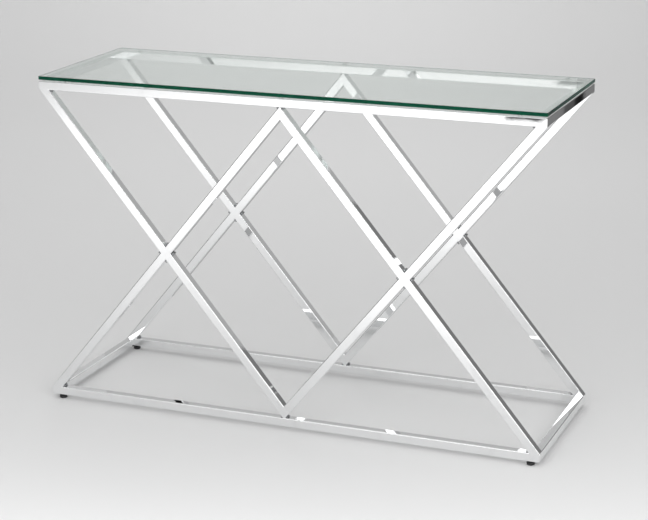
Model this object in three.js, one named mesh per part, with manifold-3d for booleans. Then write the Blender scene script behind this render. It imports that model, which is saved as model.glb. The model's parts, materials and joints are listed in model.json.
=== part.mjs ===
// Glass-topped console table on a welded square-tube frame.
// Units are millimetres. +X runs along the table, +Y towards its back and +Z up.
// The origin is on the floor, under the middle of the top.

import * as THREE from 'three';
import { mergeVertices } from 'three/addons/utils/BufferGeometryUtils.js';
import Module from 'manifold-3d';

const wasm = await Module();
wasm.setup();

// Overall sizes
const tableLength = 1200;
const tableDepth = 400;
const tableHeight = 780;

// Glass top and the clear bumpers under it
const glassThickness = 8;
const glassCornerRadius = 3;
const glassArris = 0.6;
const glassOverhang = 1;
const bumperRadius = 6;
const bumperTopRadius = 4.6;
const bumperHeight = 3;
const bumpersPerRail = 3;
const bumperEndInset = 60;

// Square tube
const tubeSize = 20;
const tubeWall = 1.5;
const tubeCornerRadius = 2;
const jointGap = 0.3;
const apexFlat = 6;

// Levelling feet
const footHeight = 10;
const footInset = 22;
const padRadius = 9;
const padHeight = 7;
const padChamfer = 1.4;
const padFloor = 2;
const studRadius = 4;
const studHeadRadius = 5.2;
const studHeadHeight = 2.2;
const studReach = 14;
const studTipChamfer = 1;
const collarAcrossFlats = 13;
const collarHeight = 1.8;
const turningClearance = 0.3;

// Threaded inserts in the bottom rails
const insertRadius = 6;
const insertLength = 10;
const insertFlangeHeight = 2;
const insertSideGap = 0.7;

// Fineness of round shapes
const roundSides = 24;
const cornerSides = 3;

// Sizes that follow from the ones above
const frameLength = tableLength - 2 * glassOverhang;
const frameDepth = tableDepth - 2 * glassOverhang;
const frameHeight = tableHeight - footHeight - bumperHeight - glassThickness;
const halfLength = frameLength / 2;
const halfDepth = frameDepth / 2;
const halfTube = tubeSize / 2;
const frameTop = footHeight + frameHeight;
const openingHalf = frameHeight / 2 - tubeSize;
const openingMiddle = footHeight + frameHeight / 2;
const braceRun = halfLength - apexFlat / 2;
const braceAngle = Math.atan2(2 * openingHalf, braceRun);
const boreRadius = studRadius + turningClearance;
const insertHoleRadius = insertRadius + jointGap;
const cutterSize = 4 * (tableLength + tableDepth + tableHeight);

const chrome = { color: 0xe4e6e8, roughness: 0.06, metalness: 1 };
const glass = { color: 0xcfe6dc, roughness: 0.02, metalness: 0, transparent: true, opacity: 0.35 };
const clearSilicone = { color: 0xe8edea, roughness: 0.25, metalness: 0 };
const blackNylon = { color: 0x16171a, roughness: 0.5, metalness: 0 };
const blackSteel = { color: 0x202225, roughness: 0.35, metalness: 0.8 };
const zincSteel = { color: 0xb4b7ba, roughness: 0.3, metalness: 1 };

// A closed geometry as a solid that can be joined and cut.
function toSolid(geometry) {
  const bare = geometry.clone();
  bare.deleteAttribute('normal');
  bare.deleteAttribute('uv');
  const merged = mergeVertices(bare, 1e-4);
  return new wasm.Manifold(new wasm.Mesh({
    numProp: 3,
    vertProperties: Float32Array.from(merged.attributes.position.array),
    triVerts: Uint32Array.from(merged.index.array),
  }));
}

function toGeometry(solid) {
  const mesh = solid.getMesh();
  const geometry = new THREE.BufferGeometry();
  geometry.setAttribute('position', new THREE.BufferAttribute(mesh.vertProperties, 3));
  geometry.setIndex(new THREE.BufferAttribute(mesh.triVerts, 1));
  geometry.computeVertexNormals();
  return geometry;
}

// Everything on the far side of the plane through a point, where the normal points.
function beyond(point, normal) {
  const box = new THREE.BoxGeometry(cutterSize, cutterSize, cutterSize);
  box.translate(0, 0, cutterSize / 2);
  const turn = new THREE.Quaternion().setFromUnitVectors(new THREE.Vector3(0, 0, 1), normal);
  box.applyQuaternion(turn);
  box.translate(point.x, point.y, point.z);
  return toSolid(box);
}

function trim(solid, point, normal) {
  return solid.subtract(beyond(point, normal.clone().normalize()));
}

// A ring or disc turned about +Z from [radius, height] points.
function turned(points) {
  const profile = points.map(([radius, height]) => new THREE.Vector2(radius, height));
  const geometry = new THREE.LatheGeometry(profile, roundSides);
  geometry.rotateX(Math.PI / 2);
  return toGeometry(toSolid(geometry));
}

function roundedRectangle(width, height, radius) {
  const x = width / 2;
  const y = height / 2;
  const shape = new THREE.Shape();
  shape.moveTo(-x + radius, -y);
  shape.lineTo(x - radius, -y);
  shape.absarc(x - radius, -y + radius, radius, -Math.PI / 2, 0);
  shape.lineTo(x, y - radius);
  shape.absarc(x - radius, y - radius, radius, 0, Math.PI / 2);
  shape.lineTo(-x + radius, y);
  shape.absarc(-x + radius, y - radius, radius, Math.PI / 2, Math.PI);
  shape.lineTo(-x, -y + radius);
  shape.absarc(-x + radius, -y + radius, radius, Math.PI, 1.5 * Math.PI);
  return shape;
}

// Square tube lying along X, its middle at the origin, open at both ends.
function rawTube(length) {
  const profile = roundedRectangle(tubeSize, tubeSize, tubeCornerRadius);
  const inner = halfTube - tubeWall;
  const cavity = new THREE.Path();
  cavity.moveTo(-inner, -inner);
  cavity.lineTo(-inner, inner);
  cavity.lineTo(inner, inner);
  cavity.lineTo(inner, -inner);
  cavity.closePath();
  profile.holes.push(cavity);
  const tube = new THREE.ExtrudeGeometry(profile, {
    depth: length,
    bevelEnabled: false,
    curveSegments: cornerSides,
  });
  tube.translate(0, 0, -length / 2);
  tube.rotateY(Math.PI / 2);
  return toSolid(tube);
}

// Rail of a rectangle along X, both ends mitred towards +Y.
// The long side is at y = -halfTube and each mitre keeps half the joint gap clear.
function mitredRail(length) {
  let rail = rawTube(length);
  for (const side of [-1, 1]) {
    const corner = new THREE.Vector3(side * (length / 2 - jointGap * Math.SQRT1_2), -halfTube, 0);
    rail = trim(rail, corner, new THREE.Vector3(side, 1, 0));
  }
  return rail;
}

// Drills the insert holes through the bottom wall of a long rail.
function drilledRail(length) {
  let rail = mitredRail(length);
  for (const side of [-1, 1]) {
    const drill = new THREE.CylinderGeometry(insertHoleRadius, insertHoleRadius, 4 * tubeWall, roundSides);
    drill.rotateX(Math.PI / 2);
    drill.translate(side * (length / 2 - footInset), 0, -halfTube);
    rail = rail.subtract(toSolid(drill));
  }
  return rail;
}

// Braces of one cross, left of the middle, seen from the front.
// The cross lies in the XZ plane, with the middle of the opening between the rails at z = 0.
// A falling brace runs from the upper outer corner to the lower middle; a rising one is its mirror.
const outerCorner = new THREE.Vector3(-halfLength, 0, openingHalf);
const acrossFalling = new THREE.Vector3(Math.sin(braceAngle), 0, Math.cos(braceAngle));
const left = new THREE.Vector3(-1, 0, 0);
const right = new THREE.Vector3(1, 0, 0);
const up = new THREE.Vector3(0, 0, 1);
const down = new THREE.Vector3(0, 0, -1);

function endCuts(brace) {
  let cut = trim(brace, new THREE.Vector3(0, 0, openingHalf - jointGap), up);
  cut = trim(cut, new THREE.Vector3(0, 0, -openingHalf + jointGap), down);
  cut = trim(cut, new THREE.Vector3(-halfLength, 0, 0), left);
  return trim(cut, new THREE.Vector3(-jointGap / 2, 0, 0), right);
}

// Sign 1 gives the falling brace and -1 the rising one.
function fullBrace(sign) {
  const length = 1.5 * Math.hypot(2 * openingHalf, braceRun);
  const geometry = toGeometry(rawTube(length));
  geometry.rotateY(sign * braceAngle);
  geometry.translate(-halfLength + braceRun / 2, 0, 0);
  geometry.translate(acrossFalling.x * halfTube, 0, sign * acrossFalling.z * halfTube);
  return endCuts(toSolid(geometry));
}

function lowerHalfBrace() {
  const face = outerCorner.clone().addScaledVector(acrossFalling, -jointGap);
  return trim(fullBrace(-1), face, acrossFalling);
}

function upperHalfBrace() {
  const face = outerCorner.clone().addScaledVector(acrossFalling, tubeSize + jointGap);
  return trim(fullBrace(-1), face, acrossFalling.clone().negate());
}

function glassSheet() {
  const shape = roundedRectangle(
    tableLength - 2 * glassArris,
    tableDepth - 2 * glassArris,
    glassCornerRadius - glassArris,
  );
  const sheet = new THREE.ExtrudeGeometry(shape, {
    depth: glassThickness - 2 * glassArris,
    bevelEnabled: true,
    bevelThickness: glassArris,
    bevelSize: glassArris,
    bevelSegments: 1,
    curveSegments: 2 * cornerSides,
  });
  sheet.translate(0, 0, glassArris);
  return toGeometry(toSolid(sheet));
}

function bumper() {
  const shoulder = bumperHeight * 0.55;
  const points = [[0, 0], [bumperRadius, 0], [bumperRadius, shoulder]];
  const steps = 3;
  for (let i = 1; i <= steps; i += 1) {
    const angle = (i / steps) * (Math.PI / 2);
    points.push([
      bumperTopRadius + (bumperRadius - bumperTopRadius) * Math.cos(angle),
      shoulder + (bumperHeight - shoulder) * Math.sin(angle),
    ]);
  }
  points.push([0, bumperHeight]);
  return turned(points);
}

// Nylon pad with a chamfered foot and a pocket that holds the stud's head.
const headTop = padFloor + turningClearance + studHeadHeight;

function footPad() {
  const pocketRadius = studHeadRadius + turningClearance;
  return turned([
    [0, 0],
    [padRadius - padChamfer, 0],
    [padRadius, padChamfer],
    [padRadius, padHeight],
    [boreRadius, padHeight],
    [boreRadius, headTop + turningClearance],
    [pocketRadius, headTop + turningClearance],
    [pocketRadius, padFloor],
    [0, padFloor],
  ]);
}

// Steel stud: a round head in the pad, a hexagonal collar above it and a threaded shank.
function footStud() {
  const tip = footHeight + studReach;
  const shank = toSolid(turned([
    [0, padFloor + turningClearance],
    [studHeadRadius, padFloor + turningClearance],
    [studHeadRadius, headTop],
    [studRadius, headTop],
    [studRadius, tip - studTipChamfer],
    [studRadius - studTipChamfer, tip],
    [0, tip],
  ]));
  const collar = new THREE.CylinderGeometry(
    collarAcrossFlats / Math.sqrt(3),
    collarAcrossFlats / Math.sqrt(3),
    collarHeight,
    6,
  );
  collar.rotateX(Math.PI / 2);
  collar.translate(0, 0, padHeight + turningClearance + collarHeight / 2);
  return toGeometry(shank.add(toSolid(collar)));
}

// Threaded insert, flush with the underside of the rail, its flange on the inside of the wall.
function footInsert() {
  const flangeRadius = halfTube - tubeWall - insertSideGap;
  const flangeBottom = tubeWall + jointGap;
  const flangeTop = flangeBottom + insertFlangeHeight;
  return turned([
    [boreRadius, 0],
    [insertRadius, 0],
    [insertRadius, flangeBottom],
    [flangeRadius, flangeBottom],
    [flangeRadius, flangeTop],
    [insertRadius, flangeTop],
    [insertRadius, insertLength],
    [boreRadius, insertLength],
    [boreRadius, 0],
  ]);
}

const table = new THREE.Group();

function addMesh(parent, name, geometry, finish) {
  const mesh = new THREE.Mesh(geometry, new THREE.MeshStandardMaterial(finish));
  mesh.name = name;
  parent.add(mesh);
  return mesh;
}

// Top and bottom rectangles
const endRail = toGeometry(mitredRail(frameDepth));
const rectangles = [
  { name: 'top', level: frameTop - halfTube, longRail: toGeometry(mitredRail(frameLength)) },
  { name: 'bottom', level: footHeight + halfTube, longRail: toGeometry(drilledRail(frameLength)) },
];
for (const { name, level, longRail } of rectangles) {
  const rails = [
    { place: 'front', geometry: longRail, x: 0, y: -halfDepth + halfTube, turn: 0 },
    { place: 'back', geometry: longRail, x: 0, y: halfDepth - halfTube, turn: Math.PI },
    { place: 'left', geometry: endRail, x: -halfLength + halfTube, y: 0, turn: -Math.PI / 2 },
    { place: 'right', geometry: endRail, x: halfLength - halfTube, y: 0, turn: Math.PI / 2 },
  ];
  for (const { place, geometry, x, y, turn } of rails) {
    const rail = addMesh(table, `${name}_rail_${place}`, geometry, chrome);
    rail.position.set(x, y, level);
    rail.rotation.z = turn;
  }
}

// Two crosses in the front of the frame and two in the back
const braces = {
  through: toGeometry(fullBrace(1)),
  lower: toGeometry(lowerHalfBrace()),
  upper: toGeometry(upperHalfBrace()),
};
for (const [face, y] of [['front', -halfDepth + halfTube], ['back', halfDepth - halfTube]]) {
  for (const [side, turn] of [['left', 0], ['right', Math.PI]]) {
    const cross = new THREE.Group();
    cross.position.set(0, y, openingMiddle);
    cross.rotation.z = turn;
    for (const [piece, geometry] of Object.entries(braces)) {
      addMesh(cross, `brace_${face}_${side}_${piece}`, geometry, chrome);
    }
    table.add(cross);
  }
}

// Glass top, lying loose on the bumpers
const top = addMesh(table, 'glass_top', glassSheet(), glass);
top.position.z = tableHeight - glassThickness;
const bumperShape = bumper();
const bumperSpan = frameLength - 2 * bumperEndInset;
for (const [face, y] of [['front', -halfDepth + halfTube], ['back', halfDepth - halfTube]]) {
  for (let i = 0; i < bumpersPerRail; i += 1) {
    const pad = addMesh(table, `glass_bumper_${face}_${i + 1}`, bumperShape, clearSilicone);
    pad.position.set(-bumperSpan / 2 + (bumperSpan * i) / (bumpersPerRail - 1), y, frameTop);
  }
}

// Levelling feet under the ends of the long bottom rails
const padShape = footPad();
const studShape = footStud();
const insertShape = footInsert();
for (const [face, y] of [['front', -halfDepth + halfTube], ['back', halfDepth - halfTube]]) {
  for (const [side, x] of [['left', -halfLength + footInset], ['right', halfLength - footInset]]) {
    const foot = new THREE.Group();
    foot.position.set(x, y, 0);
    addMesh(foot, `foot_pad_${face}_${side}`, padShape, blackNylon);
    addMesh(foot, `foot_stud_${face}_${side}`, studShape, blackSteel);
    const insert = addMesh(foot, `foot_insert_${face}_${side}`, insertShape, zincSteel);
    insert.position.z = footHeight;
    table.add(foot);
  }
}

export default table;
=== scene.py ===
"""Console table with a glass top on a polished square-tube frame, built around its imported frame.

Every length is in metres, in the frame's own axes: +X along the table, +Y to its back, +Z up.
"""

import json
import math

import bmesh
import bpy
import numpy as np
from mathutils import Matrix, Vector

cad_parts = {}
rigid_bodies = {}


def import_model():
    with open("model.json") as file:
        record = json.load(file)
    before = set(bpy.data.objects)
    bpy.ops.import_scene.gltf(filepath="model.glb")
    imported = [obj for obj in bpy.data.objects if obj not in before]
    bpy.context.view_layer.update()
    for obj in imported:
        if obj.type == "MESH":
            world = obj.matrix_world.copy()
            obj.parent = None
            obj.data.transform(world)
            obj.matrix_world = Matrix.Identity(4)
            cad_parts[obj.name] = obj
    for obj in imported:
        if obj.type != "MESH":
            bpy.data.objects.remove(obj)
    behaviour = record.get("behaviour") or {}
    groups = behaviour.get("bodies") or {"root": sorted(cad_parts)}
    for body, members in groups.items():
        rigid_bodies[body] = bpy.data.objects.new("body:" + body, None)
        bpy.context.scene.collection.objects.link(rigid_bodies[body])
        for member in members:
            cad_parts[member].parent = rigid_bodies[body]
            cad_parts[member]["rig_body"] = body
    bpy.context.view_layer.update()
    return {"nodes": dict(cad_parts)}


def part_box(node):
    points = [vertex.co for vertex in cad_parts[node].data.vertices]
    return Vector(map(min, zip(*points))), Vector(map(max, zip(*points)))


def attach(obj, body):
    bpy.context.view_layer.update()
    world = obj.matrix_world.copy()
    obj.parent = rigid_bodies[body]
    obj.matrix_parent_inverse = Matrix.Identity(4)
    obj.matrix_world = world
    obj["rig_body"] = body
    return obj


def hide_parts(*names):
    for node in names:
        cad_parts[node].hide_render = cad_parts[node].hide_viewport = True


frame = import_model()

MM = 0.001

X = np.array([1.0, 0.0, 0.0])
Y = np.array([0.0, 1.0, 0.0])
Z = np.array([0.0, 0.0, 1.0])

# Angles, in degrees, under which two faces shade as one surface
SMOOTH_BELOW = 35.0
SMOOTH_THREAD_BELOW = 40.0
SMOOTH_WELD_BELOW = 60.0


def put_in_scene(name, data):
    """A new object that holds the data, linked to the scene."""
    made = bpy.data.objects.new(name, data)
    bpy.context.scene.collection.objects.link(made)
    return made


# ---------------------------------------------------------------- camera

CAMERA_AZIMUTH = 22.12
CAMERA_ELEVATION = 14.61
CAMERA_ROLL = -0.45
CAMERA_DISTANCE = 4.296
CAMERA_LENS = 103.1
CAMERA_SHIFT = -0.0926
CAMERA_AIM = Vector((0.0103, 0.0287, 0.487))


def make_camera():
    """A view camera on a tripod: it looks down at CAMERA_AIM from in front and to the right."""
    data = bpy.data.cameras.new("camera")
    data.sensor_width = 36.0
    data.lens = CAMERA_LENS
    data.shift_y = CAMERA_SHIFT
    data.clip_end = 60.0
    camera = put_in_scene("camera", data)
    turn = Matrix.Rotation(math.radians(CAMERA_AZIMUTH), 4, "Z")
    tilt = Matrix.Rotation(math.radians(90.0 - CAMERA_ELEVATION), 4, "X")
    roll = Matrix.Rotation(math.radians(CAMERA_ROLL), 4, "Z")
    back = Matrix.Translation((0.0, 0.0, CAMERA_DISTANCE))
    camera.matrix_world = Matrix.Translation(CAMERA_AIM) @ turn @ tilt @ roll @ back
    bpy.context.scene.camera = camera


make_camera()


# ---------------------------------------------------------------- shader helpers

def new_material(name):
    """A node material with only an output and a Principled shader, joined."""
    material = bpy.data.materials.new(name)
    material.use_nodes = True
    tree = material.node_tree
    tree.nodes.clear()
    output = tree.nodes.new("ShaderNodeOutputMaterial")
    shader = tree.nodes.new("ShaderNodeBsdfPrincipled")
    tree.links.new(shader.outputs["BSDF"], output.inputs["Surface"])
    return material, tree, shader, output


def add_node(tree, kind, values=None, **settings):
    """Adds a node, sets its properties and gives its input sockets their values."""
    node = tree.nodes.new(kind)
    for name, value in settings.items():
        setattr(node, name, value)
    for name, value in (values or {}).items():
        node.inputs[name].default_value = value
    return node


def new_group(name, inputs, outputs):
    """An empty node group with its sockets, as (tree, group input node, group output node)."""
    tree = bpy.data.node_groups.new(name, "ShaderNodeTree")
    for socket, kind, value in inputs:
        made = tree.interface.new_socket(socket, in_out="INPUT", socket_type=kind)
        if value is not None:
            made.default_value = value
    for socket, kind in outputs:
        tree.interface.new_socket(socket, in_out="OUTPUT", socket_type=kind)
    return tree, tree.nodes.new("NodeGroupInput"), tree.nodes.new("NodeGroupOutput")


def use_group(tree, group, values=None):
    """Places a shared effect in a material with its own values."""
    node = tree.nodes.new("ShaderNodeGroup")
    node.node_tree = group
    for name, value in (values or {}).items():
        node.inputs[name].default_value = value
    return node


def feed(tree, value, socket):
    """Gives an input socket a number, or links another node's output to it."""
    if isinstance(value, (int, float)):
        socket.default_value = value
    else:
        tree.links.new(value, socket)


def math_node(tree, operation, first, second, clamp=False):
    """Output of a Math node; each of its inputs is a number or another node's output."""
    node = add_node(tree, "ShaderNodeMath", operation=operation, use_clamp=clamp)
    feed(tree, first, node.inputs[0])
    feed(tree, second, node.inputs[1])
    return node.outputs[0]


def noise(tree, vector, scale, **values):
    """Output of a noise texture over a vector; its scale is a number or another node's output."""
    node = add_node(tree, "ShaderNodeTexNoise", values)
    tree.links.new(vector, node.inputs["Vector"])
    feed(tree, scale, node.inputs["Scale"])
    return node.outputs["Fac"]


VECTOR = "NodeSocketVector"
FLOAT = "NodeSocketFloat"


def build_polish_group():
    """Polished metal: faint drawn lines, a slow wave in the surface, and smudges left by hands.

    Lines are noise stretched along the first coordinate. Height joins lines and wave.
    Roughness is the base value plus the lines' and smudges' shares, and Smudge is the mask alone.
    """
    tree, inner, outer = new_group(
        "polish",
        [
            ("Vector", VECTOR, None),
            ("Place", VECTOR, None),
            ("Line Scale", FLOAT, 900.0),
            ("Line Stretch", FLOAT, 0.02),
            ("Line Share", FLOAT, 0.02),
            ("Wave Scale", FLOAT, 9.0),
            ("Wave Share", FLOAT, 0.5),
            ("Smudge Scale", FLOAT, 14.0),
            ("Smudge Share", FLOAT, 0.06),
            ("Base Roughness", FLOAT, 0.03),
        ],
        [("Roughness", FLOAT), ("Height", FLOAT), ("Smudge", FLOAT)],
    )
    link = tree.links.new
    given = inner.outputs
    stretch = add_node(tree, "ShaderNodeCombineXYZ", {"Y": 1.0, "Z": 1.0})
    link(given["Line Stretch"], stretch.inputs["X"])
    squeezed = add_node(tree, "ShaderNodeVectorMath", operation="MULTIPLY")
    link(given["Vector"], squeezed.inputs[0])
    link(stretch.outputs[0], squeezed.inputs[1])
    lines = noise(tree, squeezed.outputs[0], given["Line Scale"], Detail=3.0, Roughness=0.6)
    wave = noise(tree, given["Place"], given["Wave Scale"], Detail=1.0, Roughness=0.4)
    smudge = noise(
        tree, given["Place"], given["Smudge Scale"], Detail=4.0, Roughness=0.62, Distortion=0.8
    )
    mask = add_node(
        tree,
        "ShaderNodeMapRange",
        {"From Min": 0.52, "From Max": 0.78},
        interpolation_type="SMOOTHSTEP",
    )
    link(smudge, mask.inputs["Value"])
    line_part = math_node(tree, "MULTIPLY", lines, given["Line Share"])
    smudge_part = math_node(tree, "MULTIPLY", mask.outputs[0], given["Smudge Share"])
    roughness = math_node(tree, "ADD", given["Base Roughness"], line_part)
    roughness = math_node(tree, "ADD", roughness, smudge_part, clamp=True)
    wave_part = math_node(tree, "MULTIPLY", wave, given["Wave Share"])
    height = math_node(tree, "ADD", wave_part, line_part)
    link(roughness, outer.inputs["Roughness"])
    link(height, outer.inputs["Height"])
    link(mask.outputs[0], outer.inputs["Smudge"])
    return tree


def build_grain_group():
    """Moulded or plated grain: fine cells over slow mottling, as a height, a roughness and a mask."""
    tree, inner, outer = new_group(
        "grain",
        [
            ("Vector", VECTOR, None),
            ("Cell Scale", FLOAT, 900.0),
            ("Mottle Scale", FLOAT, 60.0),
            ("Base Roughness", FLOAT, 0.4),
            ("Roughness Share", FLOAT, 0.2),
        ],
        [("Roughness", FLOAT), ("Height", FLOAT), ("Mottle", FLOAT)],
    )
    link = tree.links.new
    given = inner.outputs
    cells = add_node(tree, "ShaderNodeTexVoronoi", {"Randomness": 1.0})
    link(given["Vector"], cells.inputs["Vector"])
    link(given["Cell Scale"], cells.inputs["Scale"])
    mottle = noise(tree, given["Vector"], given["Mottle Scale"], Detail=5.0, Roughness=0.6)
    share = math_node(tree, "MULTIPLY", mottle, given["Roughness Share"])
    roughness = math_node(tree, "ADD", given["Base Roughness"], share, clamp=True)
    height = math_node(tree, "ADD", cells.outputs["Distance"], mottle)
    link(roughness, outer.inputs["Roughness"])
    link(height, outer.inputs["Height"])
    link(mottle, outer.inputs["Mottle"])
    return tree


POLISH = build_polish_group()
GRAIN = build_grain_group()


def add_bump(tree, shader, height, distance, strength):
    """Feeds a height to the shader's normal through a Bump node."""
    bump = add_node(tree, "ShaderNodeBump", {"Distance": distance, "Strength": strength})
    tree.links.new(height, bump.inputs["Height"])
    tree.links.new(bump.outputs["Normal"], shader.inputs["Normal"])


def two_tone(tree, shader, mask, clean, worn):
    """Base Color goes from the clean colour to the worn one as the mask goes from 0 to 1."""
    mix = add_node(tree, "ShaderNodeMix", data_type="RGBA")
    mix.inputs[6].default_value = (*clean, 1.0)
    mix.inputs[7].default_value = (*worn, 1.0)
    tree.links.new(mask, mix.inputs[0])
    tree.links.new(mix.outputs[2], shader.inputs["Base Color"])


def polished_metal(name, clean, smudged, along_piece, values, bump_distance, bump_strength):
    """Mirror-polished metal. Its drawn lines follow the piece's own UV map, or its height."""
    material, tree, shader, _ = new_material(name)
    shader.inputs["Metallic"].default_value = 1.0
    place = tree.nodes.new("ShaderNodeTexCoord")
    polish = use_group(tree, POLISH, values)
    lines = place.outputs["UV"] if along_piece else place.outputs["Object"]
    tree.links.new(lines, polish.inputs["Vector"])
    tree.links.new(place.outputs["Object"], polish.inputs["Place"])
    tree.links.new(polish.outputs["Roughness"], shader.inputs["Roughness"])
    two_tone(tree, shader, polish.outputs["Smudge"], clean, smudged)
    add_bump(tree, shader, polish.outputs["Height"], bump_distance, bump_strength)
    return material


def grained(name, light, dark, values, bump_distance, bump_strength, metallic=0.0):
    """Grained plastic, rubber or plating, mottled between two tones, with its shader."""
    material, tree, shader, _ = new_material(name)
    shader.inputs["Metallic"].default_value = metallic
    place = tree.nodes.new("ShaderNodeTexCoord")
    grain = use_group(tree, GRAIN, values)
    tree.links.new(place.outputs["Object"], grain.inputs["Vector"])
    tree.links.new(grain.outputs["Roughness"], shader.inputs["Roughness"])
    two_tone(tree, shader, grain.outputs["Mottle"], light, dark)
    add_bump(tree, shader, grain.outputs["Height"], bump_distance, bump_strength)
    return material, shader


def tube_finish():
    """Mirror-polished steel tube."""
    return polished_metal(
        "mirror_polished_tube",
        (0.90, 0.905, 0.91),
        (0.83, 0.835, 0.84),
        True,
        {"Line Scale": 2600.0, "Line Stretch": 0.012, "Line Share": 0.018, "Wave Scale": 11.0,
         "Wave Share": 1.0, "Smudge Scale": 16.0, "Smudge Share": 0.03, "Base Roughness": 0.012},
        1.0,
        0.0012,
    )


def weld_painted_shade():
    """Weld metal, brushed and plated over, softer than the tube around it. The beads are real, but
    their dark base colour is painted shade for the crooks they fill.
    """
    return polished_metal(
        "plated_weld_painted_shade",
        # Dark base colour: painted shade of the crooks that the weld beads fill
        (0.40, 0.41, 0.42),
        (0.22, 0.22, 0.23),
        False,
        {"Line Scale": 900.0, "Line Stretch": 1.0, "Line Share": 0.08, "Wave Scale": 260.0,
         "Wave Share": 1.0, "Smudge Scale": 180.0, "Smudge Share": 0.16, "Base Roughness": 0.14},
        0.0006,
        0.35,
    )


def stud_finish():
    """Black-oxide steel, rubbed bright in patches."""
    return polished_metal(
        "blackened_stud",
        (0.045, 0.046, 0.05),
        (0.16, 0.16, 0.165),
        False,
        {"Line Scale": 1500.0, "Line Stretch": 1.0, "Line Share": 0.1, "Wave Scale": 700.0,
         "Wave Share": 0.6, "Smudge Scale": 240.0, "Smudge Share": 0.2, "Base Roughness": 0.24},
        0.0002,
        0.25,
    )


def insert_finish():
    """Bright zinc plate with a fine spangle."""
    material, _ = grained(
        "zinc_plated_insert",
        (0.62, 0.64, 0.66),
        (0.44, 0.45, 0.46),
        {"Cell Scale": 1600.0, "Mottle Scale": 320.0, "Base Roughness": 0.16, "Roughness Share": 0.2},
        0.0001,
        0.3,
        metallic=1.0,
    )
    return material


def pad_finish():
    """Black moulded nylon, paler in patches where it is scuffed."""
    material, _ = grained(
        "black_nylon",
        (0.006, 0.006, 0.007),
        (0.022, 0.022, 0.024),
        {"Cell Scale": 1400.0, "Mottle Scale": 150.0, "Base Roughness": 0.34, "Roughness Share": 0.3},
        0.00012,
        0.5,
    )
    return material


def bumper_finish():
    """Milky silicone with a soft moulded skin."""
    material, shader = grained(
        "clear_silicone",
        (0.88, 0.90, 0.89),
        (0.78, 0.80, 0.79),
        {"Cell Scale": 1100.0, "Mottle Scale": 90.0, "Base Roughness": 0.22, "Roughness Share": 0.12},
        0.00008,
        0.25,
    )
    shader.inputs["Subsurface Weight"].default_value = 0.35
    shader.inputs["Subsurface Radius"].default_value = (0.002, 0.002, 0.002)
    return material


# Colours that the glass gives to light inside it, to its reflections and to its ground edge
GLASS_TINT = (0.02, 0.56, 0.30)
GLASS_DENSITY = 8.0
GLASS_INDEX = 1.52
GLASS_GLINT = (0.12, 0.62, 0.50)
GROUND_EDGE_TINT = (0.01, 0.27, 0.20)
GROUND_EDGE_ROUGHNESS = 0.30


def glass_finish():
    """Clear float glass: green where light goes a long way inside it, and at its ground edge.

    ground_edge is 1 on the edge and 0 on the faces. It adds roughness and the edge's tint.
    """
    material, tree, shader, output = new_material("float_glass")
    shader.inputs["Transmission Weight"].default_value = 1.0
    shader.inputs["IOR"].default_value = GLASS_INDEX
    shader.inputs["Specular Tint"].default_value = (*GLASS_GLINT, 1.0)
    place = tree.nodes.new("ShaderNodeTexCoord")
    polish = use_group(
        tree,
        POLISH,
        {"Line Scale": 60.0, "Line Stretch": 1.0, "Line Share": 0.0, "Wave Scale": 2.2,
         "Wave Share": 1.0, "Smudge Scale": 7.0, "Smudge Share": 0.012, "Base Roughness": 0.0},
    )
    tree.links.new(place.outputs["Object"], polish.inputs["Vector"])
    tree.links.new(place.outputs["Object"], polish.inputs["Place"])
    edge = add_node(tree, "ShaderNodeAttribute", attribute_name="ground_edge")
    ground = math_node(tree, "MULTIPLY", edge.outputs["Fac"], GROUND_EDGE_ROUGHNESS)
    roughness = math_node(tree, "ADD", polish.outputs["Roughness"], ground)
    tree.links.new(roughness, shader.inputs["Roughness"])
    two_tone(tree, shader, edge.outputs["Fac"], (1.0, 1.0, 1.0), GROUND_EDGE_TINT)
    add_bump(tree, shader, polish.outputs["Height"], 1.0, 0.0004)
    body = tree.nodes.new("ShaderNodeVolumeAbsorption")
    body.inputs["Color"].default_value = (*GLASS_TINT, 1.0)
    body.inputs["Density"].default_value = GLASS_DENSITY
    tree.links.new(body.outputs["Volume"], output.inputs["Volume"])
    return material


# ---------------------------------------------------------------- mesh helpers

def make_piece(
    name, points, faces, material, body, nodes, uv=None, smooth_below=SMOOTH_BELOW
):
    """A closed mesh from points and faces, its faces turned outwards, riding on a body.

    points is an (N, 3) array. faces is a list of (F, 3) and (F, 4) index arrays.
    uv is an (N, 2) array of lengths along and round the piece, or nothing.
    """
    used = np.unique(np.concatenate([block.ravel() for block in faces]))
    number = np.full(len(points), -1)
    number[used] = np.arange(len(used))
    mesh = bpy.data.meshes.new(name)
    listed = [face for block in faces for face in number[block].tolist()]
    mesh.from_pydata(np.asarray(points)[used].tolist(), [], listed)
    if uv is not None:
        layer = mesh.uv_layers.new(name="length_and_girth")
        corners = np.empty(len(mesh.loops), np.int32)
        mesh.loops.foreach_get("vertex_index", corners)
        layer.data.foreach_set("uv", np.asarray(uv)[used][corners].astype(np.float32).ravel())
    work = bmesh.new()
    work.from_mesh(mesh)
    bmesh.ops.recalc_face_normals(work, faces=work.faces)
    work.to_mesh(mesh)
    work.free()
    mesh.shade_smooth()
    mesh.set_sharp_from_angle(angle=math.radians(smooth_below))
    mesh.materials.append(material)
    piece = put_in_scene(name, mesh)
    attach(piece, body)
    if nodes:
        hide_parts(*nodes)
    return piece


def ring_faces(rows, sides, start=0, turned=False):
    """Quads of a grid of rows x sides points whose second direction closes on itself."""
    row = np.arange(rows - 1)[:, None] * sides
    side = np.arange(sides)[None, :]
    after = (side + 1) % sides
    quads = np.stack([row + side, row + after, row + sides + after, row + sides + side], -1)
    quads = quads.reshape(-1, 4) + start
    return quads[:, ::-1] if turned else quads


def fan_faces(ring, centre):
    """Triangles that close a ring of point numbers to one centre point."""
    return np.stack([ring, np.roll(ring, -1), np.full(len(ring), centre)], -1)


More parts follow.
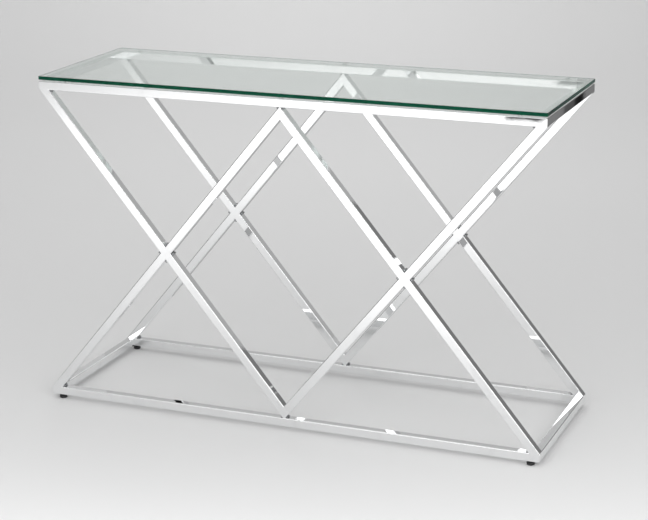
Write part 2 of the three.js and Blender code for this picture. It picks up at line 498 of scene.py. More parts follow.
def capped_faces(rows, sides):
    """Faces of a closed grid whose first and last rows each fan in to a point put after it."""
    first = np.arange(sides)
    count = rows * sides
    caps = [fan_faces(first, count), fan_faces(first + count - sides, count + 1)]
    return [ring_faces(rows, sides), np.concatenate(caps)]


def band_faces(ring, other):
    """Quads between two closed rings of point numbers, as many in each."""
    return np.stack([ring, np.roll(ring, -1), np.roll(other, -1), other], -1)


def node_centre(node):
    """Middle of a node's box."""
    low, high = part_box(node)
    return (low + high) / 2


def body_of_node(node):
    """Name of the body that a node rides on."""
    return frame["nodes"][node]["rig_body"]


# ---------------------------------------------------------------- square tube

TUBE_CORNER = 2.0 * MM
TUBE_WALL = 1.5 * MM
CAVITY_CORNER = 0.5 * MM
CORNER_STEPS = 8
# Places of the points on a flat, as shares of its half width; the outer ones hold its edge flat
FLAT_PLACES = np.array([-1.0, -0.975, -0.75, -0.5, -0.25, 0.0, 0.25, 0.5, 0.75, 0.975, 1.0])
# A crease nearer than this to a flat's end is left to the corner's own points
CREASE_CLEARANCE = 0.4 * MM
INSERT_HOLE_RADIUS = 6.3 * MM
# Rows of faces along a plain tube, and from a drilled tube's end past its hole; the block of
# faces round a hole goes past the hole's centre by this many of its radii
PLAIN_ROWS = 8
HOLE_ROWS = 10
HOLE_BLOCK = 1.4


def square_loop(half, corner, extra):
    """Rounded square, counter-clockwise, as (K, 2) points: four flats and four quarter circles.

    A flat's points lie at FLAT_PLACES times half less the corner's radius. The first flat, at
    v = -half, and the third, at v = half, also hold the places of extra, in metres.
    """
    reach = half - corner
    side = FLAT_PLACES * reach
    wide = np.unique(np.round(np.concatenate([side, extra]), 9))
    angle = np.linspace(0.0, np.pi / 2, CORNER_STEPS + 1)[1:-1]
    loop = []
    for quarter, places in enumerate((wide, side, wide, side)):
        turn = quarter * np.pi / 2
        flat = np.stack([places, np.full(len(places), -half)], -1)
        arc = np.stack([reach + corner * np.sin(angle), -reach - corner * np.cos(angle)], -1)
        both = np.concatenate([flat, arc])
        if quarter == 2:
            mirror = np.stack([-places[::-1], np.full(len(places), -half)], -1)
            both = np.concatenate([mirror, arc])
        spin = np.array([[np.cos(turn), np.sin(turn)], [-np.sin(turn), np.cos(turn)]])
        loop.append(both @ spin)
    return np.concatenate(loop)


def tube_half():
    """Half the width of the square tube."""
    low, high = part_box("top_rail_front")
    return (high.z - low.z) / 2


def cut_lengths(starts, along, cuts):
    """Where lines from starts along a direction enter and leave a stack of half spaces.

    A cut is (point, normal) and keeps what is behind it. A line's entry is the largest s, and
    its exit the smallest s, at which normal . (start + s along - point) = 0.
    """
    first = np.full(len(starts), -np.inf)
    last = np.full(len(starts), np.inf)
    for point, normal in cuts:
        point, normal = np.array(point), np.array(normal)
        pace = float(normal @ along)
        length = -((starts - point) @ normal) / pace
        if pace > 0:
            last = np.minimum(last, length)
        else:
            first = np.maximum(first, length)
    return first, last


def crease_places(middle, along, across, cuts, half):
    """Places across the tube where two cuts of the same end meet, so that the crease is exact."""
    found = []
    for i, (point_a, normal_a) in enumerate(cuts):
        for point_b, normal_b in cuts[i + 1:]:
            lines = [(np.array(normal_a), np.array(point_a)), (np.array(normal_b), np.array(point_b))]
            if (lines[0][0] @ along) * (lines[1][0] @ along) <= 0:
                continue
            # normal . (middle + u across + s along - point) = 0 for both cuts
            system = np.array([[n @ across, n @ along] for n, _ in lines])
            right = np.array([n @ (p - middle) for n, p in lines])
            place = np.linalg.solve(system, right)[0]
            if abs(place) < half - TUBE_CORNER - CREASE_CLEARANCE:
                found.append(place)
    return np.array(found)


def drilled_block(points, grid, block, centre, along, across, radius):
    """Turns a block of a grid into a surface with a round hole.

    grid is the (rows, K) array of point numbers and block its (row, row, side, side) corners.
    The block's border is joined to the circle of that radius, whose points lie in the same
    directions from the centre as the border's, by way of a ring two thirds of the way in.
    Returns all points, the faces and the circle's point numbers.
    """
    row_a, row_b, side_a, side_b = block
    border = np.concatenate([
        grid[row_a:row_b, side_a],
        grid[row_b, side_a:side_b],
        grid[row_b:row_a:-1, side_b],
        grid[row_a, side_b:side_a:-1],
    ])
    offset = points[border] - centre
    flat = np.stack([offset @ along, offset @ across], -1)
    flat *= radius / np.linalg.norm(flat, axis=1, keepdims=True)
    circle = centre + flat[:, :1] * along + flat[:, 1:] * across
    middle = (circle * 2 + points[border]) / 3
    middle_ring = np.arange(len(border)) + len(points)
    circle_ring = middle_ring + len(border)
    faces = [band_faces(border, middle_ring), band_faces(middle_ring, circle_ring)]
    return np.concatenate([points, middle, circle]), np.concatenate(faces), circle_ring


def row_lengths(first, last, holes):
    """Distances along the tube of every row of points, as a (rows, K) array.

    first and last are where each line starts and ends. A drilled tube has its rows between
    each end and the far side of that end's hole, and none between the holes.
    """
    if not holes:
        return first + np.linspace(0.0, 1.0, PLAIN_ROWS + 1)[:, None] * (last - first)
    share = np.linspace(0.0, 1.0, HOLE_ROWS + 1)[:, None]
    past = HOLE_BLOCK * INSERT_HOLE_RADIUS
    return np.concatenate([
        first + share * (holes[0] + past - first),
        last + share[::-1] * (holes[1] - past - last),
    ])


def tube_piece(name, middle, along, across, cuts, material, node, holes=()):
    """Hollow square tube: a rounded square carried along a straight line and cut at both ends.

    A point of the wall is middle + u across + v depth + s along, with (u, v) on the square and s
    from the line's entry to its exit through the cuts. The cavity is a smaller square in it,
    and each end is the band between the two squares. holes has the two values of s at which a
    hole goes through the wall at v = -half, or nothing.
    """
    half = tube_half()
    depth = np.cross(along, across)
    extra = crease_places(middle, along, across, cuts, half)
    skins = []
    points = np.zeros((0, 3))
    uv = np.zeros((0, 2))
    faces = []
    circles = []
    for size, corner in ((half, TUBE_CORNER), (half - TUBE_WALL, CAVITY_CORNER)):
        loop = square_loop(size, corner, extra)
        starts = middle + loop[:, :1] * across + loop[:, 1:] * depth
        first, last = cut_lengths(starts, along, cuts)
        lengths = row_lengths(first, last, holes)
        rows = len(lengths)
        sides = len(loop)
        grid = np.arange(rows * sides).reshape(rows, sides) + len(points)
        wall = starts[None] + lengths[..., None] * along
        step = np.linalg.norm(np.roll(loop, -1, axis=0) - loop, axis=1)
        girth = np.concatenate([[0.0], np.cumsum(step)[:-1]])
        wall_uv = np.stack([lengths, np.broadcast_to(girth, lengths.shape)], -1)
        points = np.concatenate([points, wall.reshape(-1, 3)])
        uv = np.concatenate([uv, wall_uv.reshape(-1, 2)])
        keep = np.ones((rows - 1, sides), bool)
        last_side = len(FLAT_PLACES) - 1
        spans = ((0, HOLE_ROWS), (rows - 1 - HOLE_ROWS, rows - 1))
        drilled = list(zip(holes, spans))
        for _, (row_a, row_b) in drilled:
            keep[row_a:row_b, :last_side] = False
        quads = ring_faces(rows, sides, grid[0, 0]).reshape(rows - 1, sides, 4)
        faces.append(quads[keep])
        for place, (row_a, row_b) in drilled:
            centre = middle + place * along - size * depth
            block = (row_a, row_b, 0, last_side)
            before = len(points)
            points, patch, circle = drilled_block(
                points, grid, block, centre, along, across, INSERT_HOLE_RADIUS
            )
            fresh = points[before:] - middle
            uv = np.concatenate([uv, np.stack([fresh @ along, fresh @ across], -1)])
            faces.append(patch)
            circles.append(circle)
        skins.append(grid)
    outer, cavity = skins
    faces += [band_faces(outer[row], cavity[row]) for row in (0, -1)]
    outer_circles, cavity_circles = circles[:len(holes)], circles[len(holes):]
    faces += [band_faces(*pair) for pair in zip(outer_circles, cavity_circles)]
    make_piece(name, points, faces, material, body_of_node(node), [node], uv)


# ---------------------------------------------------------------- the frame

APEX_FLAT = 6.0 * MM
WELD_SINK = 0.15 * MM
CROSS_BEAD_RADIUS = 3.0 * MM
RAIL_BEAD_RADIUS = 2.0 * MM
# Half a bead's length, as a share of half the tube's width
BEAD_SHARE = 0.82
BEAD_SIDES = 28
BEAD_ROWS = 25
# The bead's ripple, as a share of its radius, and radians from its middle to its end
RIPPLE_SHARE = 0.05
RIPPLE_TURN = 9.0


def make_rails(material):
    """Two rectangles of mitred tube, the long bottom rails drilled from below for the inserts.

    across points out of the rectangle, and along crossed with it points up.
    """
    foot_x = abs(node_centre("foot_stud_front_left").x)
    for level in ("top", "bottom"):
        end_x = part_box(f"{level}_rail_right")[1].x
        end_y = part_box(f"{level}_rail_back")[1].y
        for place in ("front", "back", "left", "right"):
            node = f"{level}_rail_{place}"
            is_long = place in ("front", "back")
            outward = -1.0 if place in ("front", "left") else 1.0
            if is_long:
                along, across, reach, outer_face = outward * X, outward * Y, end_x, end_y
            else:
                along, across, reach, outer_face = -outward * Y, outward * X, end_y, end_x
            middle = np.array(node_centre(node)) * (1 - np.abs(along))
            holes = (-foot_x, foot_x) if is_long and level == "bottom" else ()
            cuts = [
                (end * reach * along + outer_face * across, end * along - across)
                for end in (-1.0, 1.0)
            ]
            tube_piece(f"tube_{node}", middle, along, across, cuts, material, node, holes)


def make_cross(face, side, material, bead_material):
    """One cross: a full-length brace, two halves butted against it, and the welds in its crooks.

    Seen with its outer end on the left, the through brace's lower edge runs from the opening's
    upper outer corner to half an apex flat short of the middle, and the rising one mirrors it.
    """
    outer = -1.0 if side == "left" else 1.0
    inward = -outer * X
    depth = node_centre(f"top_rail_{face}").y
    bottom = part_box("bottom_rail_front")[1].z
    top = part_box("top_rail_front")[0].z
    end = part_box("top_rail_right")[1].x
    half = tube_half()
    run = end - APEX_FLAT / 2
    rise = top - bottom
    slope = np.array([run, rise]) / math.hypot(run, rise)
    edge_middle = outer * (end - run / 2) * X + depth * Y + (top + bottom) / 2 * Z
    walls = [
        ((top + TUBE_CORNER) * Z, Z),
        ((bottom - TUBE_CORNER) * Z, -Z),
        (outer * end * X, outer * X),
        (np.zeros(3), inward),
    ]
    falling = slope[0] * inward - slope[1] * Z
    above_falling = slope[1] * inward + slope[0] * Z
    rising = slope[0] * inward + slope[1] * Z
    below_rising = slope[1] * inward - slope[0] * Z
    tube_piece(
        f"tube_brace_{face}_{side}_through", edge_middle + half * above_falling, falling,
        above_falling, walls, material, f"brace_{face}_{side}_through",
    )
    lower_face = edge_middle + TUBE_CORNER * above_falling
    upper_face = edge_middle + (2 * half - TUBE_CORNER) * above_falling
    lower = walls[1:] + [(lower_face, above_falling)]
    upper = [walls[0]] + walls[2:] + [(upper_face, -above_falling)]
    for piece, cuts in (("lower", lower), ("upper", upper)):
        tube_piece(
            f"tube_brace_{face}_{side}_{piece}", edge_middle + half * below_rising, rising,
            below_rising, cuts, material, f"brace_{face}_{side}_{piece}",
        )
    # The two centre lines cross half a tube's width along the run from the edge line's middle
    crossing = edge_middle + half / slope[1] * inward
    crooks = [
        (crossing + half / slope[0] * Z, Z, "upright"),
        (crossing - half / slope[0] * Z, -Z, "upright"),
        (crossing + half / slope[1] * inward, inward, "sideways"),
        (crossing - half / slope[1] * inward, -inward, "sideways"),
    ]
    tilt = math.atan2(slope[1], slope[0])
    for level, up in ((top, -Z), (bottom, Z)):
        rail_line = depth * Y + level * Z
        corner = rail_line + outer * end * X + 2 * half / slope[1] * inward
        apex = rail_line + outer * APEX_FLAT / 2 * X
        crooks.append((corner, math.cos(tilt / 2) * inward + math.sin(tilt / 2) * up, "at_rail"))
        crooks.append((apex, -math.cos(tilt / 2) * inward + math.sin(tilt / 2) * up, "at_rail"))
    make_welds(f"weld_beads_{face}_{side}", crooks, tilt, half, bead_material)


def bead(vertex, outward, opening, radius, half_length):
    """A weld bead in a crook, as (points, faces): a teardrop carried along the depth.

    Round its middle, at angle a from the outward direction, the radius is r while a stays under
    90 degrees plus half the opening; past that it is r / cos(a - 90 - half the opening), which
    is the tangent to the crook's walls and reaches its vertex. Along the depth at t, from -1 to
    1, it is scaled by (1 - |t|^3)^(1/3) and rippled by a slow sine.
    """
    turn = np.linspace(-np.pi, np.pi, BEAD_SIDES, endpoint=False)
    limit = np.pi / 2 + opening / 2
    girth = np.where(np.abs(turn) <= limit, 1.0, 1.0 / np.cos(np.abs(turn) - limit))
    t = np.linspace(-1.0, 1.0, BEAD_ROWS + 2)[1:-1]
    ripple = 1.0 + RIPPLE_SHARE * np.sin(RIPPLE_TURN * t)
    swell = (1.0 - np.abs(t) ** 3) ** (1.0 / 3.0) * ripple
    sideways = np.cross(Y, outward)
    centre = vertex + outward * (radius / math.sin(opening / 2) - WELD_SINK)
    spoke = np.cos(turn)[:, None] * outward + np.sin(turn)[:, None] * sideways
    rings = centre + (t * half_length)[:, None, None] * Y
    rings = rings + radius * swell[:, None, None] * (girth[:, None] * spoke)[None]
    points = np.concatenate([
        rings.reshape(-1, 3),
        [centre - half_length * Y, centre + half_length * Y],
    ])
    return points, capped_faces(BEAD_ROWS, BEAD_SIDES)


def make_welds(name, crooks, tilt, half, material):
    """Weld beads of one cross, as one piece. A crook is (vertex, outward direction, kind)."""
    kinds = {
        "upright": (math.pi - 2 * tilt, CROSS_BEAD_RADIUS),
        "sideways": (2 * tilt, CROSS_BEAD_RADIUS),
        "at_rail": (tilt, RAIL_BEAD_RADIUS),
    }
    points, faces, count = [], [], 0
    for vertex, outward, kind in crooks:
        opening, radius = kinds[kind]
        made, blocks = bead(vertex, outward, opening, radius, BEAD_SHARE * half)
        faces += [block + count for block in blocks]
        points.append(made)
        count += len(made)
    make_piece(
        name, np.concatenate(points), faces, material, "frame", [],
        smooth_below=SMOOTH_WELD_BELOW,
    )


# ---------------------------------------------------------------- glass and bumpers

GLASS_CORNER = 3.0 * MM
GLASS_CORNER_STEPS = 10
GLASS_ARRIS = 0.6 * MM
ARRIS_POINTS = 5
# Inset of the ring that starts each flat face, and the least corner radius of any ring
GLASS_BORDER = 4 * GLASS_ARRIS
LEAST_CORNER = 0.2 * MM
TURNED_SIDES = 64
BUMPER_SLACK = 0.03 * MM
# Radius of a bumper's shoulder, as a share of its height
BUMPER_SHOULDER = 0.45
BUMPER_FOOT_ARC = 0.15 * MM


def rounded_outline(half_x, half_y, radius, steps):
    """Rectangle with quarter-circle corners, counter-clockwise, as (4 steps + 4, 2) points."""
    angle = np.linspace(0.0, np.pi / 2, steps + 1)
    corners = ((1, -1, -np.pi / 2), (1, 1, 0.0), (-1, 1, np.pi / 2), (-1, -1, np.pi))
    arcs = [
        np.stack([
            sx * (half_x - radius) + radius * np.cos(angle + turn),
            sy * (half_y - radius) + radius * np.sin(angle + turn),
        ], -1)
        for sx, sy, turn in corners
    ]
    return np.concatenate(arcs)


def make_glass(material):
    """Flat sheet: outlines stacked from the lower face, out round the arris, up and in again.

    At angle a of the arris, a quarter circle, the outline is inset by arris (1 - sin a) and its
    height is arris (1 - cos a) from that face. ground_edge marks the rings at the edge.
    """
    low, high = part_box("glass_top")
    half_x, half_y = (high.x - low.x) / 2, (high.y - low.y) / 2
    centre = np.array((low + high) / 2)
    a = np.linspace(0.0, np.pi / 2, ARRIS_POINTS)
    inset = np.concatenate([[GLASS_BORDER], GLASS_ARRIS * (1 - np.sin(a))])
    rise = np.concatenate([[0.0], GLASS_ARRIS * (1 - np.cos(a))])
    insets = np.concatenate([inset, inset[::-1]])
    heights = np.concatenate([low.z + rise, high.z - rise[::-1]])
    rings = []
    for inward, height in zip(insets, heights):
        corner = max(GLASS_CORNER - inward, LEAST_CORNER)
        outline = rounded_outline(half_x - inward, half_y - inward, corner, GLASS_CORNER_STEPS)
        rings.append(np.column_stack([outline + centre[:2], np.full(len(outline), height)]))
    poles = [[centre[0], centre[1], height] for height in (low.z, high.z)]
    points = np.concatenate([*rings, poles])
    sides = len(rings[0])
    faces = capped_faces(len(rings), sides)
    sheet = make_piece("glass_sheet", points, faces, material, "glass", ["glass_top"])
    edge = np.repeat(insets < GLASS_ARRIS / 2, sides)
    edge = np.concatenate([edge, [False, False]]).astype(np.float32)
    layer = sheet.data.attributes.new("ground_edge", "FLOAT", "POINT")
    layer.data.foreach_set("value", edge)


def turned_points(node, radius, height, turn):
    """Points of a surface r(k, a), z(k, a) round the upright line through a node's middle."""
    centre = node_centre(node)
    ring = np.stack([radius * np.cos(turn), radius * np.sin(turn), height], -1)
    return ring.reshape(-1, 3) + np.array([centre.x, centre.y, 0.0])


def lathe(name, node, radius, height, turn, material, smooth_below=SMOOTH_BELOW):
    """A turned surface in the place of a node, each end closed to a point on its axis."""
    points = turned_points(node, radius, height, turn)
    ends = turned_points(node, np.zeros((2, 1)), height[[0, -1]].mean(axis=1)[:, None], np.zeros(1))
    make_piece(
        name, np.concatenate([points, ends]), capped_faces(*radius.shape), material,
        body_of_node(node), [node], smooth_below=smooth_below,
    )


def turned_piece(name, node, outline, material):
    """A profile of (radius, height) points turned about a node's axis, closed at both ends."""
    turn = np.linspace(0.0, 2 * np.pi, TURNED_SIDES, endpoint=False)
    shape = (len(outline), TURNED_SIDES)
    radius = np.broadcast_to(outline[:, :1], shape)
    height = np.broadcast_to(outline[:, 1:], shape)
    lathe(name, node, radius, height, turn, material)


def profile_arc(centre, radius, start, end, steps):
    """Points of an arc in the (radius, height) plane, between two angles in degrees."""
    angle = np.radians(np.linspace(start, end, steps + 1))
    return np.stack([centre[0] + radius * np.cos(angle), centre[1] + radius * np.sin(angle)], -1)


def make_bumpers(material):
    """Domed discs: a small arc at the foot, a straight side and a round shoulder to the top."""
    foot_arc = BUMPER_FOOT_ARC
    for node in [n for n in frame["nodes"] if n.startswith("glass_bumper_")]:
        low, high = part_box(node)
        radius = (high.x - low.x) / 2
        top = high.z - BUMPER_SLACK
        shoulder = BUMPER_SHOULDER * (top - low.z)
        outline = np.concatenate([
            profile_arc((radius - foot_arc, low.z + foot_arc), foot_arc, -90, 0, 3),
            profile_arc((radius - shoulder, top - shoulder), shoulder, 0, 90, 8),
        ])
        turned_piece(f"silicone_{node}", node, outline, material)


# ---------------------------------------------------------------- levelling feet

PAD_FOOT_ARC = 2.4 * MM
PAD_RIM_ARC = 0.7 * MM
PAD_BORE = 4.3 * MM
PAD_BORE_EDGE = 0.3 * MM
PAD_POCKET = 5.5 * MM
PAD_POCKET_FLOOR = 2.0 * MM
PAD_POCKET_CEILING = 4.8 * MM

# Points round a threaded piece, rows of points in a pitch, and the wave that cuts the thread
THREADED_SIDES = 72
ROWS_PER_PITCH = 10
THREAD_PITCH = 1.25 * MM
THREAD_SLOPE = 1.6
THREAD_ROOT = 0.3

# The stud's heights start from its own foot
STUD_CREST = 4.0 * MM
STUD_THREAD_DEPTH = 0.6 * MM
STUD_TIP = 1.0 * MM
HEAD_RADIUS = 5.2 * MM
HEAD_HEIGHT = 2.2 * MM
HEAD_EDGE = 0.3 * MM
COLLAR_LOW = 5.0 * MM
COLLAR_HEIGHT = 1.8 * MM
COLLAR_FLATS = 13.0 * MM
COLLAR_EASE = 0.05 * MM
COLLAR_ROWS = 7

# The insert's heights start from its own lower end
INSERT_BODY = 6.0 * MM
INSERT_EDGE = 0.25 * MM
FLANGE_LOW = 1.8 * MM
FLANGE_HEIGHT = 2.0 * MM
KNURL_DEPTH = 0.18 * MM
KNURL_TEETH = 24
TAPPED_BORE = 4.3 * MM
TAPPED_DEPTH = 0.5 * MM
TAPPED_LEAD = 0.6 * MM
TAPPED_COUNTERSINK = 0.2 * MM


def make_pad(node, material):
    """Nylon pad: a wide arc round its foot, a straight side, a rounded rim and a bored pocket."""
    low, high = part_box(node)
    radius = (high.x - low.x) / 2
    ceiling = low.z + PAD_POCKET_CEILING
    floor = low.z + PAD_POCKET_FLOOR
    outline = np.concatenate([
        profile_arc((radius - PAD_FOOT_ARC, low.z + PAD_FOOT_ARC), PAD_FOOT_ARC, -90, 0, 10),
        profile_arc((radius - PAD_RIM_ARC, high.z - PAD_RIM_ARC), PAD_RIM_ARC, 0, 90, 6),
        [[PAD_BORE + PAD_BORE_EDGE, high.z], [PAD_BORE, high.z - PAD_BORE_EDGE]],
        [[PAD_BORE, ceiling], [PAD_POCKET, ceiling], [PAD_POCKET, floor]],
    ])
    turned_piece(f"nylon_{node}", node, outline, material)


def thread_wave(z, turn):
    """A thread's wave at heights z and angles turn: 0 where it is cut flat, rising to 1.

    With p the fraction left of z / pitch less one a turn, it is slope |2p - 1| less the root,
    held between 0 and 1.
    """
    phase = (z / THREAD_PITCH - turn[None] / (2 * np.pi)) % 1.0
    return np.clip(THREAD_SLOPE * np.abs(2 * phase - 1) - THREAD_ROOT, 0.0, 1.0)


def thread_heights(start, end):
    """Heights of a thread's rows, as a column, evenly spaced and about ROWS_PER_PITCH a pitch."""
    rows = int(round(abs(end - start) / THREAD_PITCH * ROWS_PER_PITCH))
    return np.linspace(start, end, rows + 1)[:, None]


def stacked_rows(rows, radius, height):
    """(radius, height) rows followed by the thread's own, as two grids."""
    sides = radius.shape[1]
    row_radius = np.array([np.broadcast_to(r, sides) for r, _ in rows])
    row_height = np.array([np.full(sides, z) for _, z in rows])
    height = np.broadcast_to(height, radius.shape)
    return np.concatenate([row_radius, radius]), np.concatenate([row_height, height])


def make_stud(node, material):
    """Levelling stud: a round head, a hexagonal collar chamfered at its corners, and a thread.

    The collar's radius is the smaller of the hexagon's, flats / (2 cos b), with b the angle from
    the nearest flat's middle, and a 30 degree cone at each face. The thread's radius is the
    crest's less its depth times one less the wave, faded in over a pitch and coned at the tip.
    """
    low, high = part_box(node)
    turn = np.linspace(0.0, 2 * np.pi, THREADED_SIDES, endpoint=False)
    head_top = low.z + HEAD_HEIGHT
    collar_low = low.z + COLLAR_LOW
    collar_top = collar_low + COLLAR_HEIGHT
    turn_from_flat = (turn + math.pi / 6) % (math.pi / 3) - math.pi / 6
    hexagon = COLLAR_FLATS / 2 / np.cos(turn_from_flat)
    cone = COLLAR_FLATS / 2 + COLLAR_EASE
    rows = [
        (HEAD_RADIUS - HEAD_EDGE, low.z),
        (HEAD_RADIUS, low.z + HEAD_EDGE),
        (HEAD_RADIUS, head_top - HEAD_EDGE),
        (HEAD_RADIUS - HEAD_EDGE, head_top),
        (STUD_CREST, head_top),
        (STUD_CREST, collar_low),
    ]
    for z in np.linspace(collar_low, collar_top, COLLAR_ROWS):
        edge = min(z - collar_low, collar_top - z)
        rows.append((np.minimum(hexagon, cone + edge * math.sqrt(3.0)), z))
    z = thread_heights(collar_top, high.z)
    fade = np.clip((z - collar_top) / THREAD_PITCH, 0.0, 1.0)
    shank = STUD_CREST - STUD_THREAD_DEPTH * (1 - thread_wave(z, turn)) * fade
    tip = STUD_CREST - np.clip(STUD_TIP - (high.z - z), 0.0, STUD_TIP)
    radius, height = stacked_rows(rows, np.minimum(shank, tip), z)
    lathe(
        f"threaded_{node}", node, radius, height, turn, material,
        smooth_below=SMOOTH_THREAD_BELOW,
    )


def make_insert(node, material):
    """Threaded insert: a ring whose section is a knurled body and a flange, with a tapped bore.

    The knurl is a cosine of the angle times its teeth. The bore's radius grows with the thread's
    wave and, over a short lead at each end, goes over to a countersink.
    """
    low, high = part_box(node)
    turn = np.linspace(0.0, 2 * np.pi, THREADED_SIDES, endpoint=False)
    flange = (high.x - low.x) / 2
    flange_low = low.z + FLANGE_LOW
    flange_top = flange_low + FLANGE_HEIGHT
    edge = INSERT_EDGE
    knurl = INSERT_BODY - KNURL_DEPTH * (0.5 + 0.5 * np.cos(KNURL_TEETH * turn))
    outside = [
        (INSERT_BODY - edge, low.z),
        (INSERT_BODY, low.z + edge),
        (INSERT_BODY, flange_low),
        (flange - edge, flange_low),
        (flange, flange_low + edge),
        (flange, flange_top - edge),
        (flange - edge, flange_top),
        (knurl, flange_top),
        (knurl, high.z - edge),
        (INSERT_BODY - 2 * edge, high.z),
    ]
    z = thread_heights(high.z, low.z)
    lead = np.clip(np.minimum(z - low.z, high.z - z) / TAPPED_LEAD, 0.0, 1.0)
    groove = TAPPED_DEPTH * thread_wave(z, turn) * lead
    bore = TAPPED_BORE + groove + TAPPED_COUNTERSINK * (1 - lead)
    radius, height = stacked_rows(outside, bore, z)
    points = turned_points(node, radius, height, turn)
    closed = np.concatenate([np.arange(len(points)), np.arange(THREADED_SIDES)])
    faces = [closed[ring_faces(len(radius) + 1, THREADED_SIDES)]]
    make_piece(
        f"tapped_{node}", points, faces, material, body_of_node(node), [node],
        smooth_below=SMOOTH_THREAD_BELOW,
    )


# ---------------------------------------------------------------- studio

AIR_STRENGTH = 0.725
# Heading of the two front banks, in degrees from the table's own
SET_HEADING = 22.0
# Radius of the flat floor, radius of the curve up from it and height of the wall
STUDIO_RADIUS = 4.6
STUDIO_CURVE = 2.6
STUDIO_WALL = 5.2
FLAT_ROWS = 40
WALL_ROWS = 8
STUDIO_SIDES = 96
PAPER_TONES = ((0.80, 0.80, 0.80), (0.78, 0.78, 0.78))
# How often light may bounce in all, off polish, and through glass
MOST_BOUNCES = 24
MOST_MIRRORINGS = 20
MOST_PASSES = 24


def paper_finish(name, pale, deep):
    """Matt seamless paper with a fine tooth, drifting slowly between two tones."""
    material, tree, shader, _ = new_material(name)
    shader.inputs["Roughness"].default_value = 0.9
    shader.inputs["Specular IOR Level"].default_value = 0.1
    place = tree.nodes.new("ShaderNodeTexCoord")
    tooth = noise(tree, place.outputs["Object"], 420.0, Detail=3.0)
    slow = noise(tree, place.outputs["Object"], 0.5, Detail=1.0)
    two_tone(tree, shader, slow, pale, deep)
    add_bump(tree, shader, tooth, 0.2 * MM, 0.15)
    return material


def make_studio_floor():
    """Seamless bowl: a flat disc that curves up all round into a wall.

    The flat's radius grows to R; on the curve r = R + c sin a and z = c (1 - cos a); on the
    wall r = R + c and z rises to the top.
    """
    flat = np.linspace(0.0, STUDIO_RADIUS, FLAT_ROWS)[1:]
    a = np.linspace(0.0, np.pi / 2, FLAT_ROWS)[1:]
    wall = np.linspace(STUDIO_CURVE, STUDIO_WALL, WALL_ROWS)[1:]
    radius = np.concatenate([
        flat,
        STUDIO_RADIUS + STUDIO_CURVE * np.sin(a),
        np.full(len(wall), STUDIO_RADIUS + STUDIO_CURVE),
    ])
    height = np.concatenate([np.zeros(len(flat)), STUDIO_CURVE * (1 - np.cos(a)), wall])
    turn = np.linspace(0.0, 2 * np.pi, STUDIO_SIDES, endpoint=False)
    ring = np.stack([
        radius[:, None] * np.cos(turn),
        radius[:, None] * np.sin(turn),
        np.broadcast_to(height[:, None], (len(radius), len(turn))),
    ], -1)
    points = np.concatenate([ring.reshape(-1, 3), [[0.0, 0.0, 0.0]]])
    faces = ring_faces(len(radius), len(turn), turned=True).tolist()
    faces += fan_faces(np.arange(len(turn)), len(points) - 1).tolist()
    mesh = bpy.data.meshes.new("studio_sweep")
    mesh.from_pydata(points.tolist(), [], faces)
    mesh.shade_smooth()
    mesh.materials.append(paper_finish("seamless_paper", *PAPER_TONES))
    put_in_scene("studio_sweep", mesh)


def seen_only_in_reflections(thing):
    """Hides a lamp or a card from the camera and through glass, so that only mirrors show it."""
    thing.visible_camera = False
    thing.visible_transmission = False


def soft_light(name, place, aim, width, height, radiance, heading=0.0):
    """A rectangular soft light turned towards its aim, and by heading degrees about the vertical.

    Its power is pi times radiance times area.
    """
    data = bpy.data.lights.new(name, "AREA")
    data.shape = "RECTANGLE"
    data.size = width
    data.size_y = height
    data.energy = math.pi * radiance * width * height
    lamp = put_in_scene(name, data)
    place, aim = Vector(place), Vector(aim)
    turn = (aim - place).to_track_quat("-Z", "Y").to_matrix().to_4x4()
    spin = Matrix.Rotation(math.radians(heading), 4, "Z")
    lamp.matrix_world = Matrix.Translation(place) @ spin @ turn
    seen_only_in_reflections(lamp)


def dark_card(name, corner, opposite, tone):
    """A flat dark card beside the set: it darkens what polish mirrors, but casts no shadow.

    It spans two opposite corners: it lies flat where they are level, and otherwise stands up.
    Its tone is the light that it sends out itself.
    """
    low, high = Vector(corner), Vector(opposite)
    if low.z == high.z:
        corners = [low, Vector((high.x, low.y, low.z)), high, Vector((low.x, high.y, low.z))]
    else:
        corners = [low, Vector((high.x, high.y, low.z)), high, Vector((low.x, low.y, high.z))]
    mesh = bpy.data.meshes.new(name)
    mesh.from_pydata(corners, [], [(0, 1, 2, 3)])
    material, _, shader, _ = new_material(name)
    shader.inputs["Base Color"].default_value = (0.0, 0.0, 0.0, 1.0)
    shader.inputs["Specular IOR Level"].default_value = 0.0
    shader.inputs["Emission Color"].default_value = (1.0, 1.0, 1.0, 1.0)
    shader.inputs["Emission Strength"].default_value = tone
    mesh.materials.append(material)
    card = put_in_scene(name, mesh)
    seen_only_in_reflections(card)
    card.visible_diffuse = False
    card.visible_shadow = False


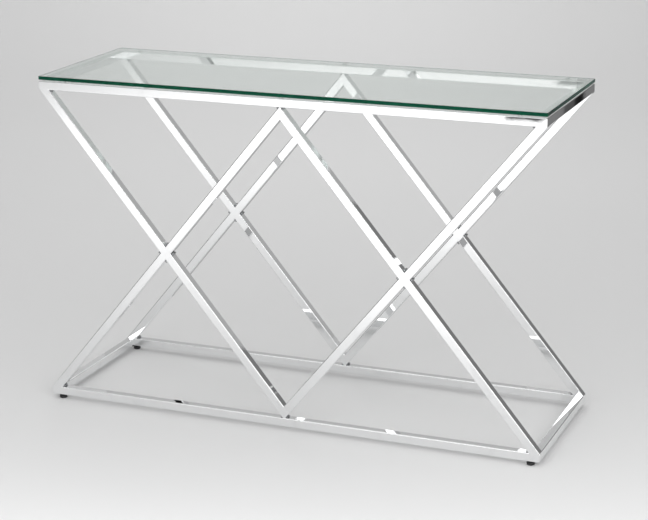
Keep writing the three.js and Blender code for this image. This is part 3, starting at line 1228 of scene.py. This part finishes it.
def make_studio():
    """Pale sweep under even air, two banks in front, three lights behind, and dark cards.

    The front banks light the floor that the front faces mirror. The cards give the tubes their
    dark patches and outlines.
    """
    scene = bpy.context.scene
    world = bpy.data.worlds.new("studio_air")
    world.use_nodes = True
    background = world.node_tree.nodes["Background"]
    background.inputs["Color"].default_value = (1.0, 1.0, 1.0, 1.0)
    background.inputs["Strength"].default_value = AIR_STRENGTH
    scene.world = world
    scene.view_settings.view_transform = "Standard"
    scene.cycles.max_bounces = MOST_BOUNCES
    scene.cycles.glossy_bounces = MOST_MIRRORINGS
    scene.cycles.transmission_bounces = MOST_PASSES
    make_studio_floor()
    soft_light("near_bank", (0.16, -1.99, 1.0), (0.16, -1.99, 0.0), 5.0, 1.3, 2.35, SET_HEADING)
    soft_light("far_bank", (0.31, -3.97, 1.2), (0.31, -3.97, 0.0), 5.0, 1.6, 2.0, SET_HEADING)
    soft_light("back_bank", (-1.9, 4.6, 2.2), (-2.3, 5.7, 0.5), 1.6, 1.6, 1.4)
    soft_light("over_bank", (-0.7, 1.9, 3.2), (-0.7, 1.9, 0.0), 2.0, 2.0, 0.8)
    soft_light("pool_bank", (-0.95, 2.4, 1.9), (-0.95, 2.4, 0.0), 1.2, 1.2, 0.85)
    dark_card("card_behind_camera", (-4.0, -4.4, 0.95), (5.0, -4.4, 3.4), 0.01)
    dark_card("card_front_floor", (-0.49, -4.2, 0.005), (-0.34, -3.57, 0.005), 0.03)
    dark_card("card_left_wall", (-3.0, -1.6, 0.25), (-3.0, 2.6, 2.2), 0.03)
    dark_card("card_back_floor", (-0.9, 0.45, 0.004), (0.9, 2.0, 0.004), 0.42)
    dark_card("card_back_left", (0.05, 2.21, 0.75), (1.0, 2.21, 2.6), 0.42)
    dark_card("card_back_right", (1.0, 2.2, 0.0), (4.0, 2.2, 2.6), 0.2)
    dark_card("card_back_slot", (1.118, 2.19, 0.0), (1.146, 2.19, 0.5), 0.01)
    dark_card("card_back_shade", (1.146, 2.19, 0.0), (1.19, 2.19, 0.5), 0.08)
    dark_card("card_back_low", (-1.8, 2.2, 0.6), (-0.1, 2.2, 1.1), 0.48)


# ---------------------------------------------------------------- build

tube_material = tube_finish()
weld_painted_shade_material = weld_painted_shade()
make_rails(tube_material)
for brace_face in ("front", "back"):
    for brace_side in ("left", "right"):
        make_cross(brace_face, brace_side, tube_material, weld_painted_shade_material)
make_glass(glass_finish())
make_bumpers(bumper_finish())
foot_makers = {
    "foot_pad_": (make_pad, pad_finish()),
    "foot_stud_": (make_stud, stud_finish()),
    "foot_insert_": (make_insert, insert_finish()),
}
for cad_node in sorted(frame["nodes"]):
    for start, (make_part, part_material) in foot_makers.items():
        if cad_node.startswith(start):
            make_part(cad_node, part_material)
make_studio()
